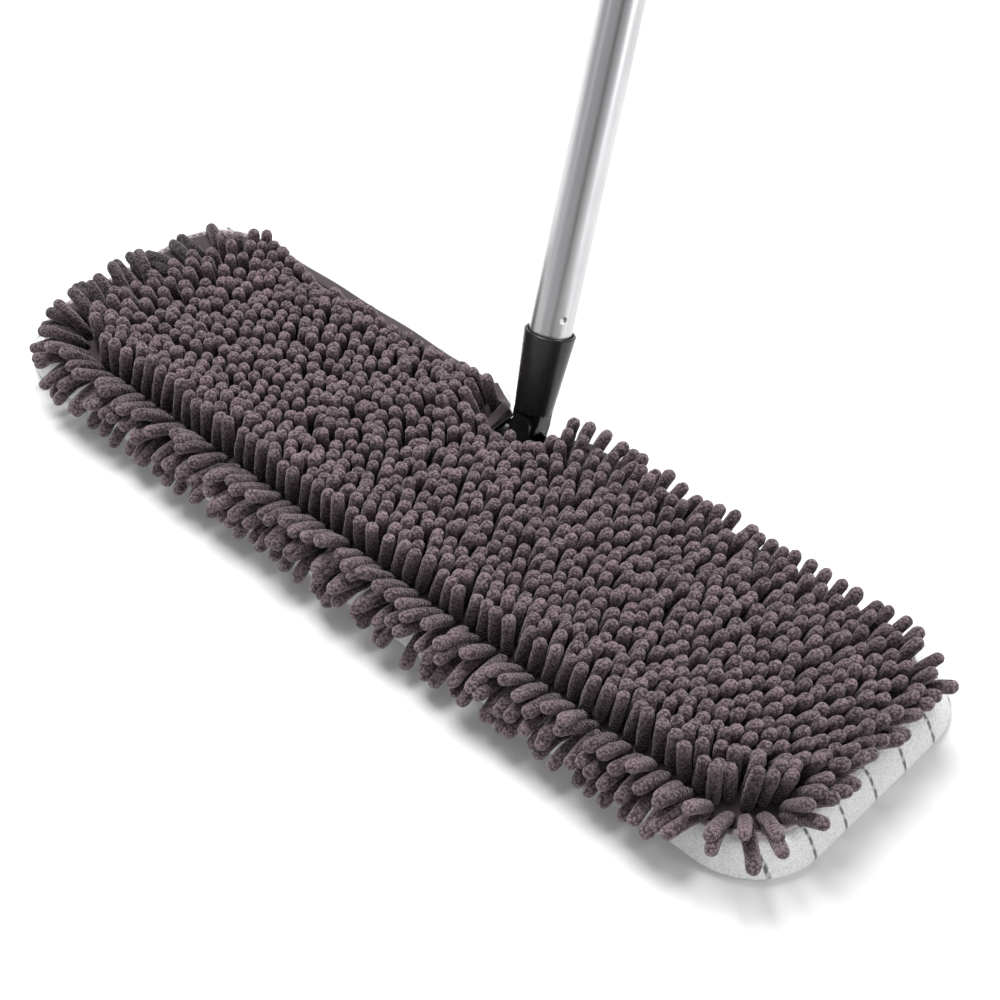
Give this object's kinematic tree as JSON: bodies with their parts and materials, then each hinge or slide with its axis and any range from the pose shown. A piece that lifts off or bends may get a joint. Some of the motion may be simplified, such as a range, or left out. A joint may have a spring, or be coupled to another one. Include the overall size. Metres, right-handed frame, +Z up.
{
  "type": "flat mop",
  "caption": "Flat mop with a double-sided chenille and microfibre cover, a flip and swivel joint in a notched back edge, and a telescopic pole.",
  "frame": {"origin": "middle of the microfibre sole, on the floor under the head", "axes": "+X along the head, +Y towards the notched back edge, +Z up"},
  "size_m": [0.522, 0.5525, 1.0046],
  "materials": {
    "frame_plastic": "matte moulded",
    "black_plastic": "satin moulded",
    "steel": "plain",
    "rubber": "matte",
    "microfibre": "looped pile",
    "tape": "hook and loop",
    "binding": "folded binding",
    "base_cloth": "woven backing",
    "chenille": "chenille pile",
    "aluminium": "satin drawn"
  },
  "bodies": {
    "head": {"frame_plate": "frame_plastic", "hinge_bracket": "black_plastic", "bracket_screw_front_left": "steel", "bracket_screw_front_right": "steel", "bracket_screw_back_left": "steel", "bracket_screw_back_right": "steel", "flip_pin": "steel", "friction_washer_left": "rubber", "friction_washer_right": "rubber", "microfibre_pad": "microfibre", "hook_tape_left": "tape", "hook_tape_right": "tape", "loop_tape_left": "tape", "loop_tape_right": "tape", "chenille_base": "base_cloth", "edge_binding": "binding", "notch_binding": "base_cloth", "back_hem_left": "base_cloth", "back_hem_right": "base_cloth", "chenille_pile": "chenille", "front_fringe": "chenille", "left_fringe": "chenille", "right_fringe": "chenille"},
    "knuckle": {"swivel_block": "black_plastic", "swivel_pin": "steel"},
    "lower_pole": {"pole_socket": "black_plastic", "lower_tube": "aluminium", "guide_bush": "black_plastic"},
    "upper_pole": {"upper_tube": "aluminium", "lock_body": "black_plastic", "hand_grip": "rubber", "end_cap": "black_plastic"},
    "lock_ring": {"lock_collar": "black_plastic"}
  },
  "joints": [
    {"name": "head_flip", "type": "hinge", "parent": "head", "child": "knuckle", "pos_m": [0, 0.054, 0.0136], "axis": [-1, 0, 0], "range_deg": [-22, 158]},
    {"name": "side_swivel", "type": "hinge", "parent": "knuckle", "child": "lower_pole", "pos_m": [0, 0.05849, 0.02473], "axis": [0, 0.9272, -0.3746], "range_deg": [-24, 36]},
    {"name": "pole_extend", "type": "slide", "parent": "lower_pole", "child": "upper_pole", "axis": [-0.1045, 0.3726, 0.9221], "range_m": [-0.19, 0.33]},
    {"name": "collar_twist", "type": "hinge", "parent": "upper_pole", "child": "lock_ring", "pos_m": [-0.0322, 0.17324, 0.30873], "axis": [-0.1045, 0.3726, 0.9221], "range_deg": [0, 90]}
  ]
}
